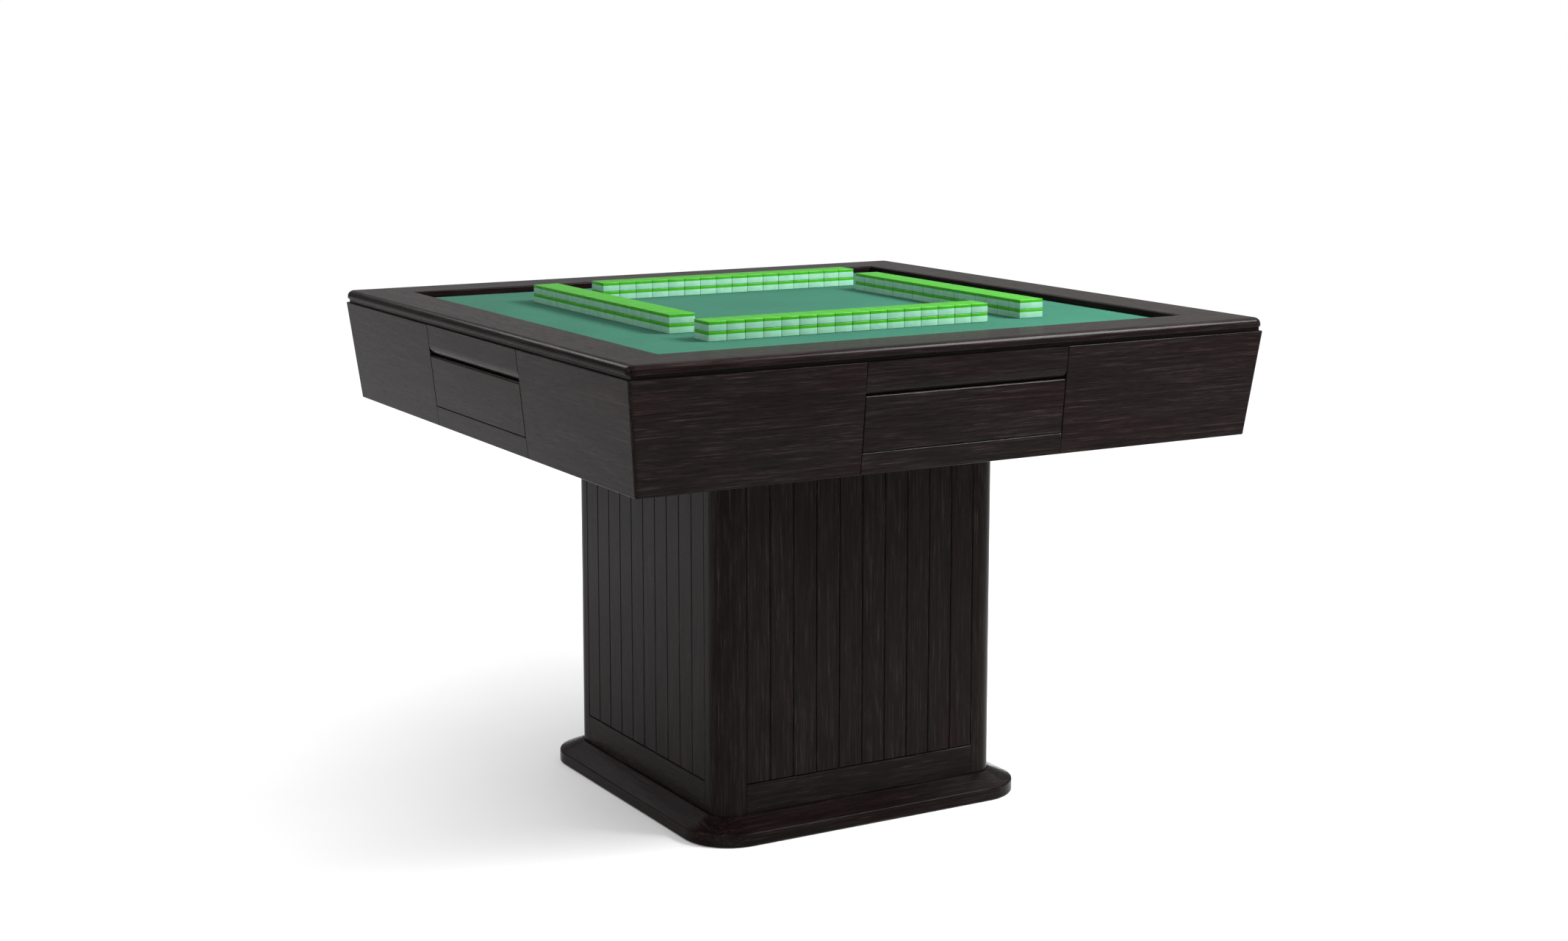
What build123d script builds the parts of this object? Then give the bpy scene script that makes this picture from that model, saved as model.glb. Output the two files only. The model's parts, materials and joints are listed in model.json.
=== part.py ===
from build123d import *
from math import hypot
import os

# A square gaming table: a boarded column on a shaped plinth carries a tapered apron with a
# drawer in each side, a mitred rim round a felt playing field, and four walls of playing tiles.
#
# Frame: millimetres, +Z up, origin on the floor under the middle of the table. The front side
# faces -Y. What repeats on the four sides is made once, for the front, and turned about Z.

os.makedirs("parts", exist_ok=True)

# ---- Driving dimensions ---------------------------------------------------------------

# heights above the floor
plinth_bottom = 1.0
plinth_edge_top = 19.6
plinth_top = 35.0
column_bottom = 17.0
panel_bottom = 80.2
apron_bottom = 584.3
column_top = 590.0
drawer_sill = 614.9
scoop_bottom = 690.0
lip_top = 694.6
scoop_top = 711.2
play_board_bottom = 735.1
apron_top = 741.2
rim_bottom = 747.1
felt_top = 750.8
rim_top = 761.0

# half widths of the squares that the table is built from
plinth_half = 286.0
plinth_lip_half = 249.2
column_half = 245.7
panel_half = 199.4
apron_foot_half = 507.5
table_half = 525.0
spacer_half = 520.0
play_board_half = 449.0
field_half = 438.0

# the apron's drawer bays
seam = 167.5
drawer_travel = 200.0
drawer_back_end = 262.0
bay_depth_end = 250.0

# board thicknesses
fascia_thickness = 20.0
drawer_face_thickness = 15.0
drawer_side_thickness = 12.0
boarding_thickness = 12.0
backing_thickness = 9.0
plate_thickness = 18.0
under_board_thickness = 12.0

# edges and gaps
plinth_corner = 75.0
column_corner = 33.0
apron_corner = 5.0
rim_corner = 12.5
rim_round = 10.0
arris = 0.8
joint_gap = 0.2
board_gap = 0.9
seam_gap = 0.6
drawer_gap = 1.2

# how far from its exact place a selected edge may lie
nearby = 0.1

# playing tiles
tile_pitch = 29.66
tile_length = 43.0
tile_height = 14.2
tiles_in_wall = 16
wall_start = -287.0
wall_outer_face = -294.0

SIDES = {"front": 0, "right": 90, "back": 180, "left": 270}
CORNERS = {"front_left": 0, "front_right": 90, "back_right": 180, "back_left": 270}

# ---- The leaning apron ----------------------------------------------------------------

apron_slope = (table_half - apron_foot_half) / (apron_top - apron_bottom)
lean = hypot(1.0, apron_slope)


def outer_half(z):
    """Half width across the apron's outer faces at height z."""
    return apron_foot_half + apron_slope * (z - apron_bottom)


def inner_half(z, thickness=fascia_thickness):
    """Half width at height z behind a leaning board of the given thickness."""
    return outer_half(z) - thickness * lean


def tapered_block(low, high, thickness):
    """A solid square block that fills the apron's inside, behind boards of the thickness."""
    with BuildPart() as block:
        for z in (low, high):
            with BuildSketch(Plane.XY.offset(z)):
                Rectangle(2 * inner_half(z, thickness), 2 * inner_half(z, thickness))
        loft(ruled=True)
    return block.part


def export_around(pattern, name, places=SIDES):
    """Write one copy of a front piece for each side or corner of the table."""
    for place, turn in places.items():
        with BuildPart() as copy:
            add(pattern.part, rotation=(0, 0, turn))
        copy.part.label = f"{name}_{place}"
        export_step(copy.part, f"parts/{name}_{place}.step")


# ---- Plinth and its glides ------------------------------------------------------------

glide_place = 205.0
glide_radius = 20.0
glide_top = 5.5
glide_pin_radius = 3.0
glide_pin_top = 14.0
bolt_radius = 4.0
bolt_clearance = 0.05
low_bolt_place = 170.0
high_bolt_place = 185.0
bolt_head_across = 13.0
bolt_head_height = 5.3
bolt_shank = 34.0
nut_height = 6.5
low_bolt_seat = 9.3
glide_gap = 0.5
glide_round = 1.0
plinth_edge_round = 2.5
plinth_lip_round = 1.8
plinth_foot_chamfer = 1.5

with BuildPart() as plinth:
    with BuildSketch(Plane.XY.offset(plinth_bottom)):
        RectangleRounded(2 * plinth_half, 2 * plinth_half, plinth_corner)
    extrude(amount=plinth_edge_top - plinth_bottom)
    for z, half in ((plinth_edge_top, plinth_half), (plinth_top, plinth_lip_half)):
        with BuildSketch(Plane.XY.offset(z)):
            RectangleRounded(2 * half, 2 * half, plinth_corner - plinth_half + half)
    loft(ruled=True)
    slope_foot = plinth.edges().filter_by_position(
        Axis.Z, plinth_edge_top - nearby, plinth_edge_top + nearby
    )
    fillet(slope_foot, plinth_edge_round)
    fillet(plinth.edges().group_by(Axis.Z)[-1], plinth_lip_round)
    chamfer(plinth.edges().group_by(Axis.Z)[0], plinth_foot_chamfer)
    # housing that the column stands in
    with BuildSketch(Plane.XY.offset(column_bottom)):
        RectangleRounded(
            2 * (column_half + joint_gap), 2 * (column_half + joint_gap), column_corner + joint_gap
        )
    extrude(amount=plinth_top - column_bottom, mode=Mode.SUBTRACT)
    # seats for the glides and the column's bolts, from below
    with Locations(Plane.XY.rotated((180, 0, 0))):
        with GridLocations(2 * glide_place, 2 * glide_place, 2, 2):
            CounterBoreHole(
                radius=glide_pin_radius + bolt_clearance,
                counter_bore_radius=glide_radius + glide_gap,
                counter_bore_depth=glide_top,
                depth=glide_pin_top,
            )
        with GridLocations(2 * low_bolt_place, 2 * low_bolt_place, 2, 2):
            CounterBoreHole(
                radius=bolt_radius + bolt_clearance,
                counter_bore_radius=bolt_head_across,
                counter_bore_depth=low_bolt_seat,
                depth=column_bottom,
            )
plinth.part.label = "plinth"
export_step(plinth.part, "parts/plinth.step")

with BuildPart() as floor_glides:
    with BuildSketch():
        with GridLocations(2 * glide_place, 2 * glide_place, 2, 2):
            Circle(glide_radius)
    extrude(amount=glide_top)
    fillet(floor_glides.edges().group_by(Axis.Z)[0], glide_round)
    with BuildSketch(Plane.XY.offset(glide_top)):
        with GridLocations(2 * glide_place, 2 * glide_place, 2, 2):
            Circle(glide_pin_radius)
    extrude(amount=glide_pin_top - glide_top)
floor_glides.part.label = "floor_glides"
export_step(floor_glides.part, "parts/floor_glides.step")

# ---- Column ---------------------------------------------------------------------------

column_height = column_top - column_bottom
post_width = column_half - panel_half
post_middle = (column_half + panel_half) / 2
boarding_gap = 0.3
backing_face = column_half - boarding_thickness - boarding_gap
backing_middle = backing_face - backing_thickness / 2

with BuildPart() as column_post:
    with BuildSketch(Plane.XY.offset(column_bottom)):
        with Locations((-post_middle, -post_middle)):
            Rectangle(post_width, post_width)
    extrude(amount=column_height)
    uprights = column_post.edges().filter_by(Axis.Z)
    fillet(uprights.sort_by(lambda edge: edge.center().X + edge.center().Y)[0], column_corner)
    panel_edges = column_post.edges().filter_by(Axis.Z).filter_by(
        lambda edge: abs(edge.center().X + edge.center().Y + panel_half + column_half) < nearby
    )
    chamfer(panel_edges, arris)
export_around(column_post, "column_post", CORNERS)

with BuildPart() as column_backing_panels:
    with BuildSketch(Plane.XY.offset(column_bottom)):
        with GridLocations(2 * backing_middle, 0, 2, 1):
            Rectangle(backing_thickness, 2 * panel_half)
        with GridLocations(0, 2 * backing_middle, 1, 2):
            Rectangle(2 * panel_half, backing_thickness)
    extrude(amount=column_height)
column_backing_panels.part.label = "column_backing_panels"
export_step(column_backing_panels.part, "parts/column_backing_panels.step")

board_count = 10
board_pitch = 2 * panel_half / board_count
board_arris = 1.1
board_foot_gap = 1.2
board_foot = panel_bottom + board_foot_gap

with BuildPart() as column_boards:
    with BuildSketch(Plane.XY.offset(board_foot)):
        with Locations((0, -backing_face - boarding_thickness / 2)):
            with GridLocations(board_pitch, 0, board_count, 1):
                Rectangle(board_pitch - board_gap, boarding_thickness)
    extrude(amount=column_top - board_foot)
    outer_faces = column_boards.faces().group_by(Axis.Y)[0]
    chamfer(outer_faces.edges().filter_by(Axis.Z), board_arris)
    chamfer(column_boards.faces().group_by(Axis.Y)[0].edges().group_by(Axis.Z)[0], arris)
export_around(column_boards, "column_boards")

with BuildPart() as column_bottom_rail:
    with BuildSketch(Plane.XY.offset(column_bottom)):
        with Locations((0, -(column_half + backing_face) / 2)):
            Rectangle(2 * panel_half - joint_gap, column_half - backing_face)
    extrude(amount=panel_bottom - column_bottom)
    chamfer(column_bottom_rail.edges().group_by(Axis.Z)[-1].sort_by(Axis.Y)[0], arris)
export_around(column_bottom_rail, "column_bottom_rail")


def column_plate(bottom, bolt_place):
    """A plate that fills the column's inside, notched round the corner posts."""
    plate_half = backing_face - backing_thickness
    with BuildPart() as plate:
        with BuildSketch(Plane.XY.offset(bottom)):
            Rectangle(2 * plate_half, 2 * plate_half)
            with GridLocations(2 * post_middle, 2 * post_middle, 2, 2):
                Rectangle(post_width, post_width, mode=Mode.SUBTRACT)
            with GridLocations(2 * bolt_place, 2 * bolt_place, 2, 2):
                Circle(bolt_radius + bolt_clearance, mode=Mode.SUBTRACT)
        extrude(amount=plate_thickness)
    return plate


column_base_plate = column_plate(column_bottom, low_bolt_place)
column_base_plate.part.label = "column_base_plate"
export_step(column_base_plate.part, "parts/column_base_plate.step")

column_top_plate = column_plate(column_top - plate_thickness, high_bolt_place)
column_top_plate.part.label = "column_top_plate"
export_step(column_top_plate.part, "parts/column_top_plate.step")

# Hexagon bolts with their nuts: four hold the column to the plinth, four hold the under board.
with BuildPart() as column_bolts:
    for place, seat, clamped in (
        (low_bolt_place, low_bolt_seat, column_bottom + plate_thickness),
        (high_bolt_place, column_top - plate_thickness, column_top + under_board_thickness),
    ):
        with BuildSketch(Plane.XY.offset(seat - bolt_head_height)):
            with GridLocations(2 * place, 2 * place, 2, 2):
                RegularPolygon(bolt_head_across / 2, 6, major_radius=False)
        extrude(amount=bolt_head_height)
        with BuildSketch(Plane.XY.offset(seat)):
            with GridLocations(2 * place, 2 * place, 2, 2):
                Circle(bolt_radius)
        extrude(amount=bolt_shank)
        with BuildSketch(Plane.XY.offset(clamped)):
            with GridLocations(2 * place, 2 * place, 2, 2):
                RegularPolygon(bolt_head_across / 2, 6, major_radius=False)
                Circle(bolt_radius + bolt_clearance, mode=Mode.SUBTRACT)
        extrude(amount=nut_height)
column_bolts.part.label = "column_bolts"
export_step(column_bolts.part, "parts/column_bolts.step")

# ---- Apron ----------------------------------------------------------------------------

dowel_radius = 3.0
dowel_hole_radius = dowel_radius + bolt_clearance
dowel_line = -512.0
dowel_bottom = 727.0
dowel_top = 757.0
rail_dowel_place = 120.0
fascia_dowel_place = 380.0
upper_rail_back = -485.0
scoop_depth = 27.0
apron_foot_round = 1.5
apron_top_round = 1.0
rail_half = seam - seam_gap


def dowel_holes(place):
    """Holes for the rim's dowels in a front piece, at equal distances from the middle."""
    with Locations((0, dowel_line, (dowel_bottom + dowel_top) / 2)):
        with GridLocations(2 * place, 0, 2, 1):
            Cylinder(dowel_hole_radius, dowel_top - dowel_bottom, mode=Mode.SUBTRACT)


with BuildPart() as apron_shell:
    add(tapered_block(apron_bottom, apron_top, 0.0))
    upright_edges = apron_shell.edges().filter_by(lambda edge: edge.length < table_half)
    fillet(upright_edges, apron_corner)
    fillet(apron_shell.edges().group_by(Axis.Z)[0], apron_foot_round)
    fillet(apron_shell.edges().group_by(Axis.Z)[-1], apron_top_round)
    add(tapered_block(apron_bottom, apron_top, fascia_thickness), mode=Mode.SUBTRACT)

# Two fascia boards, mitred together at the front left corner.
with BuildPart() as corner_fascia:
    with BuildSketch(Plane.XY.offset(apron_bottom)):
        with BuildLine():
            Polyline(
                (-seam, -table_half),
                (-seam, -seam - joint_gap),
                (-table_half + joint_gap, -table_half),
                close=True,
            )
        make_face()
    extrude(amount=apron_top - apron_bottom)
    add(apron_shell.part, mode=Mode.INTERSECT)
    chamfer(corner_fascia.edges().group_by(Axis.X)[-1].sort_by(Axis.Y)[0], arris)
    with Locations((-fascia_dowel_place, dowel_line, dowel_bottom)):
        Cylinder(
            dowel_hole_radius,
            dowel_top - dowel_bottom,
            align=(Align.CENTER, Align.CENTER, Align.MIN),
            mode=Mode.SUBTRACT,
        )
    mirror(about=Plane(origin=(0, 0, 0), z_dir=(1, -1, 0)))
export_around(corner_fascia, "corner_fascia", CORNERS)

# The rail over a drawer: its front leans with the apron, then rolls smoothly inward and ends
# behind the drawer's lip, so that fingertips reach over the lip.
with BuildPart() as upper_rail:
    with BuildSketch(Plane.YZ):
        with BuildLine():
            Spline(
                (-outer_half(scoop_top), scoop_top),
                (-outer_half(scoop_top) + scoop_depth, scoop_bottom),
                tangents=((apron_slope, -1), (1, 0)),
            )
            Polyline(
                (-outer_half(scoop_top) + scoop_depth, scoop_bottom),
                (upper_rail_back, scoop_bottom),
                (upper_rail_back, apron_top),
                (-outer_half(apron_top), apron_top),
                (-outer_half(scoop_top), scoop_top),
            )
        make_face()
    extrude(amount=rail_half, both=True)
    rail_face = upper_rail.faces().filter_by(GeomType.PLANE).sort_by(Axis.Y)[0]
    chamfer(rail_face.edges().filter_by(Axis.X, reverse=True), arris)
    dowel_holes(rail_dowel_place)
export_around(upper_rail, "upper_rail")

with BuildPart() as lower_rail:
    with BuildSketch(Plane.XY.offset(apron_bottom)):
        with Locations((0, -table_half)):
            Rectangle(2 * rail_half, 4 * fascia_thickness)
    extrude(amount=drawer_sill - apron_bottom)
    add(apron_shell.part, mode=Mode.INTERSECT)
    chamfer(lower_rail.edges().group_by(Axis.Z)[-1].sort_by(Axis.Y)[0], arris)
    for end in (0, -1):
        chamfer(lower_rail.edges().group_by(Axis.X)[end].sort_by(Axis.Y)[0], arris)
export_around(lower_rail, "lower_rail")

with BuildPart() as under_board:
    add(tapered_block(column_top, column_top + under_board_thickness, fascia_thickness))
    with Locations((0, 0, column_top + under_board_thickness)):
        with GridLocations(2 * high_bolt_place, 2 * high_bolt_place, 2, 2):
            Hole(bolt_radius + bolt_clearance, depth=under_board_thickness)
under_board.part.label = "under_board"
export_step(under_board.part, "parts/under_board.step")

floor_of_bay = column_top + under_board_thickness
block_inner_face = 450.0
block_size = 100.0
block_middle = block_inner_face + block_size / 2

with BuildPart() as corner_blocks:
    with BuildSketch(Plane.XY.offset(floor_of_bay)):
        with GridLocations(2 * block_middle, 2 * block_middle, 2, 2):
            Rectangle(block_size, block_size)
    extrude(amount=apron_top - floor_of_bay)
    add(tapered_block(floor_of_bay, apron_top, fascia_thickness), mode=Mode.INTERSECT)
corner_blocks.part.label = "corner_blocks"
export_step(corner_blocks.part, "parts/corner_blocks.step")

# ---- Drawer bays ----------------------------------------------------------------------

partition_inner_face = 159.0
partition_thickness = 16.0
drawer_side_gap = 1.5
drawer_box_half = partition_inner_face - drawer_side_gap
runner_bottom = 648.0
runner_height = 12.0
runner_grip = 6.5
runner_front = -478.0
runner_back = -268.0
runner_gap = 0.4

with BuildPart() as partition_pair:
    partition_middle = partition_inner_face + partition_thickness / 2
    for end in (-1, 1):
        with BuildSketch(Plane.YZ.offset(end * partition_middle)):
            with BuildLine():
                Polyline(
                    (-inner_half(floor_of_bay), floor_of_bay),
                    (-inner_half(scoop_bottom), scoop_bottom),
                    (upper_rail_back, scoop_bottom),
                    (upper_rail_back, play_board_bottom),
                    (-bay_depth_end, play_board_bottom),
                    (-bay_depth_end, floor_of_bay),
                    close=True,
                )
            make_face()
        extrude(amount=partition_thickness / 2, both=True)

with BuildPart() as drawer_partitions:
    for turn in SIDES.values():
        add(partition_pair.part, rotation=(0, 0, turn))
drawer_partitions.part.label = "drawer_partitions"
export_step(drawer_partitions.part, "parts/drawer_partitions.step")

with BuildPart() as runner_pair:
    runner_width = drawer_side_gap + runner_grip - runner_gap
    with BuildSketch(Plane.XY.offset(runner_bottom + runner_gap)):
        with Locations((0, (runner_front + runner_back) / 2)):
            with GridLocations(2 * partition_inner_face - runner_width, 0, 2, 1):
                Rectangle(runner_width, runner_back - runner_front)
    extrude(amount=runner_height)

with BuildPart() as drawer_runners:
    for turn in SIDES.values():
        add(runner_pair.part, rotation=(0, 0, turn))
drawer_runners.part.label = "drawer_runners"
export_step(drawer_runners.part, "parts/drawer_runners.step")

# A cleat on the under board catches the drawer back's lower lip at full travel.
drawer_lip_bottom = 617.0
stop_top = 618.6
stop_gap = 0.5
stop_back = -drawer_back_end - drawer_side_thickness - drawer_travel - stop_gap
stop_thickness = 10.0
stop_width = 120.0

with BuildPart() as front_stop:
    with BuildSketch(Plane.XY.offset(floor_of_bay)):
        with Locations((0, stop_back - stop_thickness / 2)):
            Rectangle(stop_width, stop_thickness)
    extrude(amount=stop_top - floor_of_bay)

with BuildPart() as drawer_stops:
    for turn in SIDES.values():
        add(front_stop.part, rotation=(0, 0, turn))
drawer_stops.part.label = "drawer_stops"
export_step(drawer_stops.part, "parts/drawer_stops.step")

# ---- Drawers --------------------------------------------------------------------------

face_half = seam - drawer_gap
face_bottom = drawer_sill + drawer_gap
lip_thickness = 6.5
lip_front_round = 3.4
lip_back_round = 2.0
grip_floor = 684.0
groove_end_gap = 0.5
drawer_side_bottom = 620.0
drawer_side_top = 688.0
drawer_floor_bottom = 624.0
drawer_floor_thickness = 6.0
drawer_inner_half = drawer_box_half - drawer_side_thickness
groove_front = runner_front - groove_end_gap


def behind_face(z):
    """Y of the back of a closed drawer's face at height z."""
    return -inner_half(z, drawer_face_thickness)


# A drawer's face ends in a lip, with a rebate behind it for the fingertips.
with BuildPart() as drawer_face:
    with BuildSketch(Plane.YZ):
        with BuildLine():
            Polyline(
                (-outer_half(face_bottom), face_bottom),
                (-outer_half(lip_top), lip_top),
                (-outer_half(lip_top) + lip_thickness, lip_top),
                (-outer_half(lip_top) + lip_thickness, grip_floor),
                (behind_face(grip_floor), grip_floor),
                (behind_face(face_bottom), face_bottom),
                close=True,
            )
        make_face()
    extrude(amount=face_half, both=True)
    lip_edges = drawer_face.edges().filter_by(Axis.X).group_by(Axis.Z)[-1].sort_by(Axis.Y)
    fillet(lip_edges[0], lip_front_round)
    fillet(lip_edges[1], lip_back_round)
    front_face = drawer_face.faces().filter_by(GeomType.PLANE).sort_by(Axis.Y)[0]
    chamfer(front_face.edges().filter_by(Axis.X, reverse=True), arris)
export_around(drawer_face, "drawer_face")

with BuildPart() as drawer_box:
    for end in (-1, 1):
        with BuildSketch(Plane.YZ.offset(end * (drawer_box_half - drawer_side_thickness / 2))):
            with BuildLine():
                Polyline(
                    (behind_face(drawer_side_bottom), drawer_side_bottom),
                    (behind_face(drawer_side_top), drawer_side_top),
                    (-drawer_back_end, drawer_side_top),
                    (-drawer_back_end, drawer_side_bottom),
                    close=True,
                )
            make_face()
        extrude(amount=drawer_side_thickness / 2, both=True)
    # grooves that run on the fixed runners, closed at the front and open at the back
    with BuildSketch(Plane.XY.offset(runner_bottom)):
        with Locations((0, (groove_front - drawer_back_end) / 2)):
            with GridLocations(2 * drawer_box_half - runner_grip, 0, 2, 1):
                Rectangle(runner_grip, -drawer_back_end - groove_front)
    extrude(amount=runner_height + 2 * runner_gap, mode=Mode.SUBTRACT)
    with BuildSketch(Plane.XY.offset(drawer_lip_bottom)):
        with Locations((0, -drawer_back_end - drawer_side_thickness / 2)):
            Rectangle(2 * drawer_inner_half - joint_gap, drawer_side_thickness)
    extrude(amount=drawer_side_top - drawer_lip_bottom)
export_around(drawer_box, "drawer_box")

drawer_floor_top = drawer_floor_bottom + drawer_floor_thickness
drawer_floor_back = -drawer_back_end - drawer_side_thickness

with BuildPart() as drawer_bottom:
    with BuildSketch(Plane.YZ):
        with BuildLine():
            Polyline(
                (behind_face(drawer_floor_bottom), drawer_floor_bottom),
                (behind_face(drawer_floor_top), drawer_floor_top),
                (drawer_floor_back, drawer_floor_top),
                (drawer_floor_back, drawer_floor_bottom),
                close=True,
            )
        make_face()
    extrude(amount=drawer_inner_half, both=True)
export_around(drawer_bottom, "drawer_bottom")

# ---- Top ------------------------------------------------------------------------------


def mitred_strip(inner, outer, bottom, top):
    """The front quarter of a square ring, cut on the diagonals."""
    with BuildPart() as strip:
        with BuildSketch(Plane.XY.offset(bottom)):
            with BuildLine():
                Polyline(
                    (-outer + joint_gap / 2, -outer),
                    (outer - joint_gap / 2, -outer),
                    (inner - joint_gap / 2, -inner),
                    (-inner + joint_gap / 2, -inner),
                    close=True,
                )
            make_face()
        extrude(amount=top - bottom)
    return strip.part


with BuildPart() as spacer_strip:
    add(mitred_strip(play_board_half + joint_gap, spacer_half, apron_top, rim_bottom))
    dowel_holes(rail_dowel_place)
    dowel_holes(fascia_dowel_place)

with BuildPart() as spacer_frame:
    for turn in SIDES.values():
        add(spacer_strip.part, rotation=(0, 0, turn))
spacer_frame.part.label = "spacer_frame"
export_step(spacer_frame.part, "parts/spacer_frame.step")

with BuildPart() as front_dowels:
    with BuildSketch(Plane.XY.offset(dowel_bottom)):
        with Locations((0, dowel_line)):
            with GridLocations(2 * rail_dowel_place, 0, 2, 1):
                Circle(dowel_radius)
            with GridLocations(2 * fascia_dowel_place, 0, 2, 1):
                Circle(dowel_radius)
    extrude(amount=dowel_top - dowel_bottom)

with BuildPart() as rim_dowels:
    for turn in SIDES.values():
        add(front_dowels.part, rotation=(0, 0, turn))
rim_dowels.part.label = "rim_dowels"
export_step(rim_dowels.part, "parts/rim_dowels.step")

with BuildPart() as play_board:
    with BuildSketch(Plane.XY.offset(play_board_bottom)):
        Rectangle(2 * play_board_half, 2 * play_board_half)
    extrude(amount=rim_bottom - play_board_bottom)
play_board.part.label = "play_board"
export_step(play_board.part, "parts/play_board.step")

felt_gap = 0.3

with BuildPart() as felt:
    with BuildSketch(Plane.XY.offset(rim_bottom)):
        Rectangle(2 * (field_half - felt_gap), 2 * (field_half - felt_gap))
    extrude(amount=felt_top - rim_bottom)
felt.part.label = "felt"
export_step(felt.part, "parts/felt.step")

rim_foot_round = 2.0
field_edge_round = 3.0

with BuildPart() as rim_ring:
    with BuildSketch(Plane.XY.offset(rim_bottom)):
        RectangleRounded(2 * table_half, 2 * table_half, rim_corner)
    extrude(amount=rim_top - rim_bottom)
    fillet(rim_ring.edges().group_by(Axis.Z)[-1], rim_round)
    fillet(rim_ring.edges().group_by(Axis.Z)[0], rim_foot_round)
    with BuildSketch(Plane.XY.offset(rim_bottom)):
        Rectangle(2 * field_half, 2 * field_half)
    extrude(amount=rim_top - rim_bottom, mode=Mode.SUBTRACT)
    field_edges = rim_ring.edges().group_by(Axis.Z)[-1].filter_by(
        lambda edge: max(abs(edge.center().X), abs(edge.center().Y)) < field_half + nearby
    )
    fillet(field_edges, field_edge_round)

with BuildPart() as rim_board:
    add(mitred_strip(field_half - joint_gap, table_half, rim_bottom, rim_top))
    add(rim_ring.part, mode=Mode.INTERSECT)
    dowel_holes(rail_dowel_place)
    dowel_holes(fascia_dowel_place)
export_around(rim_board, "rim_board")

# ---- Playing tiles --------------------------------------------------------------------

tile_gap = 0.26
tile_round = 1.8
tier_gap = 0.1
rest_gap = 0.05
wall_middle_x = wall_start + tile_pitch * tiles_in_wall / 2
wall_middle_y = wall_outer_face + tile_length / 2

with BuildPart() as tile_wall:
    for tier in (0, 1):
        with BuildSketch(Plane.XY.offset(felt_top + rest_gap + tier * tile_height)):
            with Locations((wall_middle_x, wall_middle_y)):
                with GridLocations(tile_pitch, 0, tiles_in_wall, 1):
                    RectangleRounded(tile_pitch - tile_gap, tile_length, tile_round)
        extrude(amount=tile_height - tier_gap)
export_around(tile_wall, "tile_wall")
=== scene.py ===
import json
import math
import random

import bmesh
import bpy
from mathutils import Matrix, Vector, noise


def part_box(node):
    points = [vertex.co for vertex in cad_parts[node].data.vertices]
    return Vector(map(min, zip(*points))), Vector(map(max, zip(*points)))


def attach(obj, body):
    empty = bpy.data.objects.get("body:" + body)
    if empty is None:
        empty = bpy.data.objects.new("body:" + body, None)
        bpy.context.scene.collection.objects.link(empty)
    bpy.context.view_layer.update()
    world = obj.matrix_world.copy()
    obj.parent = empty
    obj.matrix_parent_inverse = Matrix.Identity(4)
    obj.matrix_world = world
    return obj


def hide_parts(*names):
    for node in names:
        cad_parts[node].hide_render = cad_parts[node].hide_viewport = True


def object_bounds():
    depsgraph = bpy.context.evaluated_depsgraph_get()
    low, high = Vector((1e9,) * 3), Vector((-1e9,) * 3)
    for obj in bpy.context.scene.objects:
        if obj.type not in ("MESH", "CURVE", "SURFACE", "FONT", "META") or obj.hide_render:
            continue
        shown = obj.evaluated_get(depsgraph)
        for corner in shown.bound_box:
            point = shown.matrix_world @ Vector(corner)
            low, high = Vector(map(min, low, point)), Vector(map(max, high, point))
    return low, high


# A square gaming table with a felt field, four drawers and four walls of tiles.
# Everything is in metres, in the frame's axes: +Z up, the front side faces -Y.

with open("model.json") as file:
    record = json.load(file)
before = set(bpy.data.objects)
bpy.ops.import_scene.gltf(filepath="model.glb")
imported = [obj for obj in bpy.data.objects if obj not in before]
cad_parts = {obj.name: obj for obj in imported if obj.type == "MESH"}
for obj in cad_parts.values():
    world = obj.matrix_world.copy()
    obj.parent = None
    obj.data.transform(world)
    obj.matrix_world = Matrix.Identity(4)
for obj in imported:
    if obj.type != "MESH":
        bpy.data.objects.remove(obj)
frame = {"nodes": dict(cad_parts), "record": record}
cad_low, cad_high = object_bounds()

SIDES = ("front", "right", "back", "left")
MM = 0.001
BOARDS_A_SIDE = 10

felt_low, felt_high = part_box("felt")
boards_low, boards_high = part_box("column_boards_front")
board_pitch = (boards_high.x - boards_low.x) / BOARDS_A_SIDE
table_width = cad_high.x - cad_low.x

# ---- Node recipes ---------------------------------------------------------------------


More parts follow.
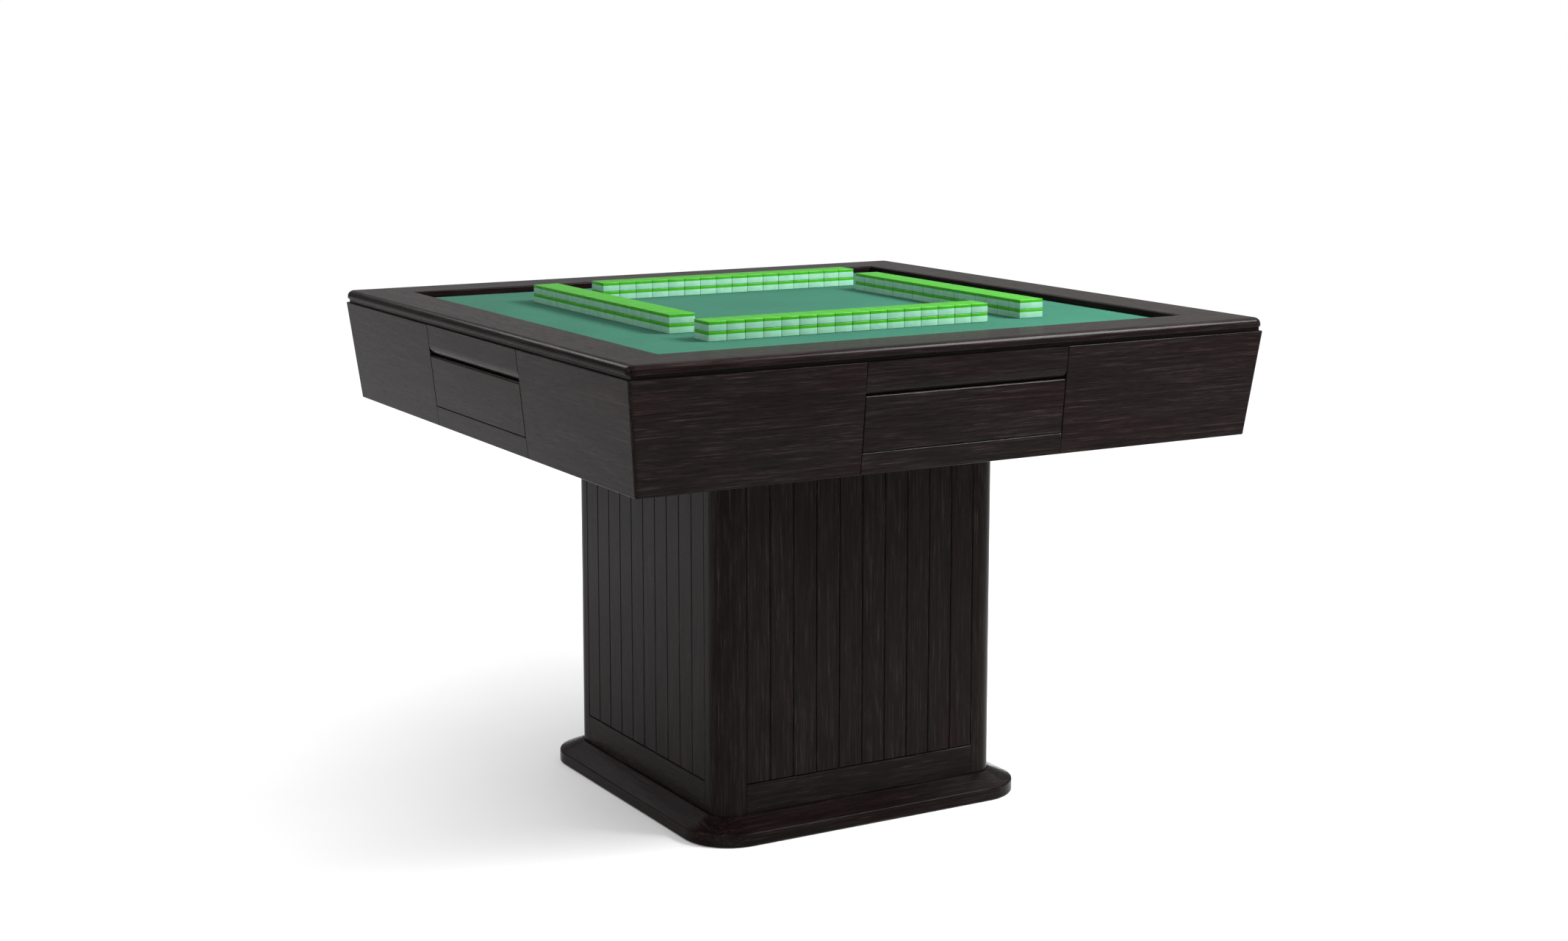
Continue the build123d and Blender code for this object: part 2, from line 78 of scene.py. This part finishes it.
class Recipe:
    """One material, with short names for the nodes that it is made of."""

    def __init__(self, name):
        self.material = bpy.data.materials.new(name)
        self.material.use_nodes = True
        self.tree = self.material.node_tree
        self.shader = self.tree.nodes["Principled BSDF"]

    def feed(self, socket, value):
        if isinstance(value, bpy.types.NodeSocket):
            self.tree.links.new(value, socket)
        else:
            socket.default_value = value

    def node(self, kind, *values, **settings):
        made = self.tree.nodes.new(kind)
        for key, value in settings.items():
            setattr(made, key, value)
        for socket, value in zip(made.inputs, values):
            if value is not None:
                self.feed(socket, value)
        return made

    def place(self):
        """Where the surface lies in its own piece's axes, so that the pattern moves with it."""
        return self.node("ShaderNodeTexCoord").outputs["Object"]

    def maths(self, operation, a, b=0.0, c=0.0, clamp=False):
        made = self.node("ShaderNodeMath", a, b, c, operation=operation, use_clamp=clamp)
        return made.outputs[0]

    def scaled(self, vector, scale):
        return self.node("ShaderNodeVectorMath", vector, scale, operation="MULTIPLY").outputs[0]

    def noise(self, vector, scale=1.0, detail=2.0, roughness=0.5, distortion=0.0):
        made = self.node("ShaderNodeTexNoise")
        self.feed(made.inputs["Vector"], vector)
        self.feed(made.inputs["Scale"], scale)
        self.feed(made.inputs["Detail"], detail)
        self.feed(made.inputs["Roughness"], roughness)
        self.feed(made.inputs["Distortion"], distortion)
        return made.outputs[0]

    def ramp(self, value, stops):
        made = self.node("ShaderNodeValToRGB", value)
        elements = made.color_ramp.elements
        while len(elements) < len(stops):
            elements.new(0.5)
        for element, (place, colour) in zip(elements, stops):
            element.position = place
            element.color = (*colour, 1.0)
        return made.outputs[0]

    def between(self, value, low, high, new_low, new_high):
        """The value's span from low to high, stretched to run from new_low to new_high."""
        return self.node("ShaderNodeMapRange", value, low, high, new_low, new_high).outputs[0]

    def tinted(self, amount, colour, tint):
        """The colour, multiplied by the tint where the amount is 1."""
        made = self.node("ShaderNodeMix", data_type="RGBA", blend_type="MULTIPLY")
        factor, first, second = made.inputs[0], made.inputs[6], made.inputs[7]
        self.feed(factor, amount)
        self.feed(first, colour)
        self.feed(second, tint)
        mixed_colour = made.outputs[2]
        return mixed_colour

    def bump(self, height, distance, strength):
        made = self.node("ShaderNodeBump")
        self.feed(made.inputs["Height"], height)
        self.feed(made.inputs["Distance"], distance)
        self.feed(made.inputs["Strength"], strength)
        return made.outputs[0]

    def finish(self, **sockets):
        """Sets the shader's own sockets, each named with _ for a space."""
        for key, value in sockets.items():
            self.feed(self.shader.inputs[key.replace("_", " ")], value)
        return self.material


# ---- Wood -----------------------------------------------------------------------------

# how far apart in the log two pieces, two directions and two column boards are cut, in metres
PIECE_SHIFT = 23.0
SIDE_SHIFT = 7.3
BOARD_SHIFT = 5.0

# how often each part of the pattern repeats in a metre: along the grain, then twice across it
FIGURE_SCALE = (0.9, 7.5, 7.5)
FIBRE_SCALE = (16.0, 640.0, 640.0)
STREAK_SCALE = (7.0, 260.0, 260.0)
DASH_SCALE = (22.0, 560.0, 560.0)
PORE_SCALE = (45.0, 900.0, 900.0)
PATCH_SCALE = (2.6, 14.0, 14.0)

# how much each part of the pattern lightens the wood, or darkens it for the pores
RING_TONE = 0.07
FIBRE_TONE = 0.62
STREAK_TONE = 0.32
DASH_TONE = 0.10
PORE_TONE = 0.12

RING_COUNT = 17.0
RUDDY_AMOUNT = 0.5
RUDDY_TINT = (1.0, 0.62, 0.55, 1.0)
FIBRE_RELIEF = 0.5
PORE_RELIEF = 0.7
FIBRE_DULLNESS = 0.14
PORE_DULLNESS = 0.10
GRAIN_DEPTH = 0.10 * MM
GRAIN_STRENGTH = 0.35


def grain_space(recipe, upright):
    """A vector whose first axis runs along the grain.

    The grain runs round the table on rails, fascias and rim boards, and up the column on its
    boards and posts. Every board is cut from another place in the log.
    """
    x, y, z = recipe.node("ShaderNodeSeparateXYZ", recipe.place()).outputs
    from_middle_x = recipe.maths("ABSOLUTE", x)
    from_middle_y = recipe.maths("ABSOLUTE", y)
    on_front = recipe.maths("GREATER_THAN", from_middle_y, from_middle_x)
    x_if_front = recipe.maths("MULTIPLY", on_front, recipe.maths("SUBTRACT", x, y))
    y_if_front = recipe.maths("MULTIPLY", on_front, recipe.maths("SUBTRACT", y, x))
    along = recipe.maths("ADD", y, x_if_front)
    across = recipe.maths("ADD", x, y_if_front)
    chance = recipe.node("ShaderNodeObjectInfo").outputs["Random"]
    piece_shift = recipe.maths("MULTIPLY", chance, PIECE_SHIFT)
    side_shift = recipe.maths("MULTIPLY", on_front, SIDE_SHIFT)
    shift = recipe.maths("ADD", piece_shift, side_shift)
    if upright:
        from_first_board = recipe.maths("SUBTRACT", along, boards_low.x)
        board = recipe.maths("FLOOR", recipe.maths("DIVIDE", from_first_board, board_pitch))
        board_noise = recipe.node("ShaderNodeTexWhiteNoise", None, board, noise_dimensions="1D")
        board_shift = recipe.maths("MULTIPLY", board_noise.outputs[0], BOARD_SHIFT)
        shift = recipe.maths("ADD", shift, board_shift)
        lengthwise, sideways = z, along
    else:
        lengthwise, sideways = along, z
    return recipe.node(
        "ShaderNodeCombineXYZ",
        recipe.maths("ADD", lengthwise, shift),
        recipe.maths("ADD", sideways, shift),
        recipe.maths("ADD", across, shift),
    ).outputs[0]


def wood(name, upright, dark, middle, light, shine, specular):
    """Open-grained veneer: fine fibres, short pores, faint cathedral figure, ruddy patches."""
    recipe = Recipe(name)
    grain = grain_space(recipe, upright)

    def pattern(scale, detail, roughness, distortion=0.0):
        return recipe.noise(recipe.scaled(grain, scale), 1.0, detail, roughness, distortion)

    figure = pattern(FIGURE_SCALE, 3.0, 0.55, 0.35)
    waves = recipe.maths("PINGPONG", recipe.maths("MULTIPLY", figure, RING_COUNT), 0.5)
    rings = recipe.between(waves, 0.0, 0.5, 0.0, 1.0)
    fibres = pattern(FIBRE_SCALE, 5.0, 0.7)
    streaks = pattern(STREAK_SCALE, 3.0, 0.6, 0.2)
    dashes = recipe.between(pattern(DASH_SCALE, 1.0, 0.5), 0.63, 0.74, 0.0, 1.0)
    pores = recipe.between(pattern(PORE_SCALE, 1.0, 0.5), 0.56, 0.68, 0.0, 1.0)
    patches = pattern(PATCH_SCALE, 3.0, 0.6)

    tone = recipe.maths("MULTIPLY", rings, RING_TONE)
    tone = recipe.maths("MULTIPLY_ADD", fibres, FIBRE_TONE, tone)
    tone = recipe.maths("MULTIPLY_ADD", streaks, STREAK_TONE, tone)
    tone = recipe.maths("MULTIPLY_ADD", dashes, DASH_TONE, tone)
    tone = recipe.maths("SUBTRACT", tone, recipe.maths("MULTIPLY", pores, PORE_TONE), clamp=True)
    colour = recipe.ramp(tone, ((0.34, dark), (0.54, middle), (0.72, light)))
    ruddy = recipe.between(patches, 0.50, 0.68, 0.0, RUDDY_AMOUNT)

    raised = recipe.maths("MULTIPLY", fibres, FIBRE_RELIEF)
    sunk = recipe.maths("MULTIPLY", pores, PORE_RELIEF)
    relief = recipe.maths("SUBTRACT", raised, sunk)
    polish = recipe.between(fibres, 0.3, 0.7, shine, shine + FIBRE_DULLNESS)
    return recipe.finish(
        Base_Color=recipe.tinted(ruddy, colour, RUDDY_TINT),
        Roughness=recipe.maths("MULTIPLY_ADD", pores, PORE_DULLNESS, polish),
        Normal=recipe.bump(relief, GRAIN_DEPTH, GRAIN_STRENGTH),
        Specular_IOR_Level=specular,
    )


def dark_wood(name, upright):
    return wood(
        name,
        upright,
        dark=(0.0030, 0.0016, 0.0015),
        middle=(0.0080, 0.0054, 0.0054),
        light=(0.0290, 0.0205, 0.0195),
        shine=0.14,
        specular=0.035,
    )


def pale_wood(name, upright):
    return wood(
        name,
        upright,
        dark=(0.255, 0.160, 0.088),
        middle=(0.365, 0.248, 0.142),
        light=(0.480, 0.348, 0.218),
        shine=0.42,
        specular=0.35,
    )


# ---- Felt, tiles, metal, nylon --------------------------------------------------------

FELT_DARK = (0.004, 0.055, 0.032)
FELT_MIDDLE = (0.008, 0.078, 0.047)
FELT_LIGHT = (0.016, 0.104, 0.066)
TILE_BACK_LOW, TILE_BACK_HIGH = (0.022, 0.198, 0.003), (0.030, 0.226, 0.006)
TILE_BODY_LOW, TILE_BODY_HIGH = (0.165, 0.355, 0.255), (0.205, 0.410, 0.300)
SCRATCH_SCALE = (2600.0, 190.0, 900.0)
SCRATCH_DULLNESS = 0.14


def felt_material():
    """Matted wool fibres: two sizes of fleck, a soft pile and slightly worn patches."""
    recipe = Recipe("green_felt")
    place = recipe.place()
    fibres = recipe.noise(place, 900.0, 4.0, 0.65, 1.2)
    flecks = recipe.noise(place, 210.0, 3.0, 0.6, 0.6)
    patches = recipe.noise(place, 7.0, 3.0, 0.5)
    tone = recipe.maths("MULTIPLY_ADD", fibres, 0.5, recipe.maths("MULTIPLY", flecks, 0.3))
    tone = recipe.maths("MULTIPLY_ADD", patches, 0.2, tone)
    return recipe.finish(
        Base_Color=recipe.ramp(
            tone, ((0.36, FELT_DARK), (0.50, FELT_MIDDLE), (0.66, FELT_LIGHT))
        ),
        Roughness=recipe.between(flecks, 0.3, 0.7, 0.86, 0.98),
        Normal=recipe.bump(tone, 0.6 * MM, 0.6),
        Sheen_Weight=0.04,
        Sheen_Roughness=0.5,
        Specular_IOR_Level=0.1,
    )


def tile_plastic(name, low, high, shine):
    """Polished moulded plastic with faint clouding and fine scratches."""
    recipe = Recipe(name)
    place = recipe.place()
    clouds = recipe.noise(place, 55.0, 3.0, 0.55, 0.8)
    scratches = recipe.noise(recipe.scaled(place, SCRATCH_SCALE), 1.0, 2.0, 0.6)
    return recipe.finish(
        Base_Color=recipe.ramp(clouds, ((0.34, low), (0.66, high))),
        Roughness=recipe.between(scratches, 0.35, 0.75, shine, shine + SCRATCH_DULLNESS),
        Normal=recipe.bump(clouds, 0.05 * MM, 0.4),
        Coat_Weight=0.03,
        Coat_Roughness=0.22,
        Specular_IOR_Level=0.15,
    )


def zinc_material():
    """Zinc-plated steel with a fine spangle."""
    recipe = Recipe("zinc_plate")
    spangle = recipe.noise(recipe.place(), 420.0, 3.0, 0.6, 0.5)
    return recipe.finish(
        Base_Color=recipe.ramp(spangle, ((0.3, (0.42, 0.42, 0.44)), (0.7, (0.60, 0.60, 0.61)))),
        Metallic=1.0,
        Roughness=recipe.between(spangle, 0.3, 0.7, 0.28, 0.46),
        Normal=recipe.bump(spangle, 0.05 * MM, 0.3),
    )


def nylon_material():
    """Black moulded nylon with a pebbled skin."""
    recipe = Recipe("black_nylon")
    pebble = recipe.noise(recipe.place(), 1500.0, 2.0, 0.5)
    return recipe.finish(
        Base_Color=recipe.ramp(
            pebble, ((0.3, (0.018, 0.018, 0.019)), (0.7, (0.034, 0.034, 0.035)))
        ),
        Roughness=recipe.between(pebble, 0.3, 0.7, 0.5, 0.7),
        Normal=recipe.bump(pebble, 0.06 * MM, 0.5),
    )


# ---- Materials on the carried-over pieces ---------------------------------------------

MATERIALS = {
    "dark_around": dark_wood("dark_wood_around", upright=False),
    "dark_upright": dark_wood("dark_wood_upright", upright=True),
    "pale_around": pale_wood("pale_wood_around", upright=False),
    "pale_upright": pale_wood("pale_wood_upright", upright=True),
    "felt": felt_material(),
    "tile_back": tile_plastic("tile_green_back", TILE_BACK_LOW, TILE_BACK_HIGH, shine=0.26),
    "tile_body": tile_plastic("tile_pale_body", TILE_BODY_LOW, TILE_BODY_HIGH, shine=0.30),
    "zinc": zinc_material(),
    "nylon": nylon_material(),
}

# nodes whose grain stands upright, by how their names begin
UPRIGHT = ("column_post", "column_boards", "column_backing_panels", "corner_blocks", "rim_dowels")
SLOT_LOOKS = {"dark_wood": "dark", "inner_wood": "pale", "steel": "zinc", "nylon": "nylon"}


def dress(node, piece):
    """Gives a carried-over piece the detailed material of its slot and grain direction."""
    look = SLOT_LOOKS.get(slot_of[node])
    if look in ("dark", "pale"):
        look += "_upright" if node.startswith(UPRIGHT) else "_around"
    if look:
        piece.data.materials.clear()
        piece.data.materials.append(MATERIALS[look])


slot_of = {entry["node"]: entry["material_slot"] for entry in frame["record"]["subparts"]}
for node, piece in frame["nodes"].items():
    dress(node, piece)


def new_piece(name, mesh, *looks):
    piece = bpy.data.objects.new(name, mesh)
    bpy.context.scene.collection.objects.link(piece)
    for look in looks:
        mesh.materials.append(MATERIALS[look])
    return piece


# ---- Felt -----------------------------------------------------------------------------

FELT_STEPS = 110
FELT_EDGE = 2.5 * MM
FELT_EDGE_SINK = 0.6 * MM
PILE_HEIGHT = 0.12 * MM
PILE_SCALE = 60.0


def felt_piece():
    """The glued felt: a thin closed sheet, its edge tucked down and its pile not quite level."""
    side = felt_high.x - felt_low.x
    mesh = bpy.data.meshes.new("felt_cloth")
    sheet = bmesh.new()
    bmesh.ops.create_grid(sheet, x_segments=FELT_STEPS, y_segments=FELT_STEPS, size=0.5)
    for vertex in sheet.verts:
        across = vertex.co * side
        to_edge = felt_high.x - max(abs(across.x), abs(across.y))
        tuck = FELT_EDGE_SINK * max(0.0, 1.0 - to_edge / FELT_EDGE) ** 2
        pile = PILE_HEIGHT * (0.5 + 0.5 * noise.noise(across * PILE_SCALE))
        vertex.co = (across.x, across.y, felt_high.z - tuck - pile)
    underside = bmesh.ops.extrude_face_region(sheet, geom=list(sheet.faces))
    for element in underside["geom"]:
        if isinstance(element, bmesh.types.BMVert):
            element.co.z = felt_low.z
    bmesh.ops.recalc_face_normals(sheet, faces=sheet.faces)
    for face in sheet.faces:
        faces_up_or_down = abs(face.normal.z) > 0.9
        face.smooth = faces_up_or_down
    sheet.to_mesh(mesh)
    sheet.free()
    piece = new_piece("felt_cloth", mesh, "felt")
    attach(piece, "table")
    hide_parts("felt")


# ---- Tiles ----------------------------------------------------------------------------

STACKS = 16
TIERS = 2
STACK_GAP = 0.26 * MM
TIER_GAP = 0.1 * MM
ROOM_TO_SLIP = Vector((0.0, 0.3, 0.0)) * MM
MOST_SLIP = 0.14
MOST_SWING = 0.12

# the share of a tile's height that its pale body takes, under the green back
BODY_SHARE = 0.67
TILE_ROUND = 0.8 * MM


def tile_mesh(size):
    """One tile: a rounded block in two layers, the green back over the pale body."""
    shape = bmesh.new()
    bmesh.ops.create_cube(shape, size=1.0)
    bmesh.ops.scale(shape, vec=size, verts=shape.verts)
    bmesh.ops.bevel(
        shape,
        geom=list(shape.edges),
        offset=TILE_ROUND,
        segments=3,
        profile=0.5,
        affect="EDGES",
        clamp_overlap=True,
    )
    split = (BODY_SHARE - 0.5) * size.z
    bmesh.ops.bisect_plane(
        shape,
        geom=[*shape.verts, *shape.edges, *shape.faces],
        plane_co=(0, 0, split),
        plane_no=(0, 0, 1),
    )
    for face in shape.faces:
        face.material_index = 0 if face.calc_center_median().z > split else 1
        face.smooth = True
    mesh = bpy.data.meshes.new("tile")
    shape.to_mesh(mesh)
    shape.free()
    return mesh


def tile_wall(side, turn):
    """Sixteen stacks of two tiles, set by hand: no tile is quite square to its neighbour."""
    low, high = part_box("tile_wall_front")
    pitch = (high.x - low.x + STACK_GAP) / STACKS
    tier_height = (high.z - low.z + TIER_GAP) / TIERS
    size = Vector((pitch - STACK_GAP, high.y - low.y, tier_height - TIER_GAP))
    chance = random.Random(f"tiles {side}")
    single = tile_mesh(size - ROOM_TO_SLIP)
    whole = bmesh.new()
    for tier in range(TIERS):
        for stack in range(STACKS):
            slip = chance.uniform(-MOST_SLIP, MOST_SLIP) * MM
            swing = math.radians(chance.uniform(-MOST_SWING, MOST_SWING))
            x = low.x + size.x / 2 + stack * pitch
            y = (low.y + high.y) / 2 + slip
            z = low.z + size.z / 2 + tier * tier_height
            before = len(whole.verts)
            whole.from_mesh(single)
            whole.verts.ensure_lookup_table()
            where = Matrix.Translation((x, y, z)) @ Matrix.Rotation(swing, 4, "Z")
            bmesh.ops.transform(whole, matrix=where, verts=whole.verts[before:])
    quarter_turns = Matrix.Rotation(turn, 3, "Z")
    bmesh.ops.rotate(whole, cent=(0, 0, 0), matrix=quarter_turns, verts=whole.verts)
    mesh = bpy.data.meshes.new(f"tiles_{side}")
    whole.to_mesh(mesh)
    whole.free()
    bpy.data.meshes.remove(single)
    piece = new_piece(f"tiles_{side}", mesh, "tile_back", "tile_body")
    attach(piece, f"{side}_tiles")
    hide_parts(f"tile_wall_{side}")


felt_piece()
for quarter, side in enumerate(SIDES):
    tile_wall(side, quarter * math.pi / 2)

# ---- Studio ---------------------------------------------------------------------------

FLOOR_HALF = 30.0
WHITE = (1.0, 1.0, 1.0, 1.0)

# each soft box: the way to it from the table's middle, how far off, its width, its watts
SOFTBOXES = {
    "right_softbox": ((0.50, -0.46, 0.72), 2.4, 0.85, 130.0),
    "back_softbox": ((-0.26, 0.76, 0.62), 3.2, 0.9, 14.0),
    "left_softbox": ((-0.85, -0.10, 0.36), 3.0, 1.2, 14.0),
}
SKY_STRENGTH = 2.75
SKY_SPREAD = math.radians(120.0)
ROOM_STRENGTH = 0.30

LENS = 54.8
SHIFT_Y = -0.05
TURN_RIGHT = math.radians(29.95)
LOOK_DOWN = math.radians(8.56)
EYE = (-1.762 * table_width, -3.066 * table_width, 1.179)


def studio_floor():
    """A wide pale floor, slightly mottled like painted board."""
    corners = [(x * FLOOR_HALF, y * FLOOR_HALF, 0) for x, y in ((-1, -1), (1, -1), (1, 1), (-1, 1))]
    mesh = bpy.data.meshes.new("studio_floor")
    mesh.from_pydata(corners, [], [(0, 1, 2, 3)])
    recipe = Recipe("studio_paper")
    mottle = recipe.noise(recipe.place(), 3.0, 2.0, 0.5)
    recipe.finish(
        Base_Color=recipe.ramp(mottle, ((0.3, (0.86, 0.86, 0.86)), (0.7, (0.88, 0.88, 0.88)))),
        Roughness=0.9,
        Specular_IOR_Level=0.1,
    )
    floor = bpy.data.objects.new("studio_floor", mesh)
    mesh.materials.append(recipe.material)
    bpy.context.scene.collection.objects.link(floor)


def soft_box(name, place, aim, width, power):
    lamp = bpy.data.lights.new(name, "AREA")
    lamp.shape = "RECTANGLE"
    lamp.size, lamp.size_y = width, width
    lamp.energy = power
    holder = bpy.data.objects.new(name, lamp)
    holder.location = place
    holder.rotation_euler = (aim - place).to_track_quat("-Z", "Y").to_euler()
    bpy.context.scene.collection.objects.link(holder)


def studio_light():
    """Three soft boxes, which draw a bright line along rounded edges, and wide light from above.

    The room is white to the eye but dim as a light, so that dark wood stays dark.
    """
    middle = Vector((0.0, 0.0, (cad_low.z + cad_high.z) / 2))
    for name, (towards, reach, width, power) in SOFTBOXES.items():
        place = middle + Vector(towards).normalized() * reach
        soft_box(name, place, middle, width, power)
    sun = bpy.data.lights.new("sky_light", "SUN")
    sun.energy = SKY_STRENGTH
    sun.angle = SKY_SPREAD
    bpy.context.scene.collection.objects.link(bpy.data.objects.new("sky_light", sun))
    world = bpy.data.worlds.new("studio")
    world.use_nodes = True
    nodes = world.node_tree.nodes
    links = world.node_tree.links
    room = nodes["Background"]
    room.inputs["Color"].default_value = WHITE
    room.inputs["Strength"].default_value = ROOM_STRENGTH
    wall = nodes.new("ShaderNodeBackground")
    wall.inputs["Color"].default_value = WHITE
    either = nodes.new("ShaderNodeMixShader")
    links.new(nodes.new("ShaderNodeLightPath").outputs["Is Camera Ray"], either.inputs["Fac"])
    links.new(room.outputs[0], either.inputs[1])
    links.new(wall.outputs[0], either.inputs[2])
    links.new(either.outputs[0], nodes["World Output"].inputs["Surface"])
    bpy.context.scene.world = world
    bpy.context.scene.view_settings.view_transform = "Standard"


def studio_camera():
    """Eye height of someone who walks up to the front left corner, looking slightly down."""
    data = bpy.data.cameras.new("camera")
    data.lens = LENS
    data.shift_y = SHIFT_Y
    camera = bpy.data.objects.new("camera", data)
    camera.location = EYE
    camera.rotation_euler = (math.pi / 2 - LOOK_DOWN, 0.0, -TURN_RIGHT)
    bpy.context.scene.collection.objects.link(camera)
    bpy.context.scene.camera = camera


studio_floor()
studio_light()
studio_camera()
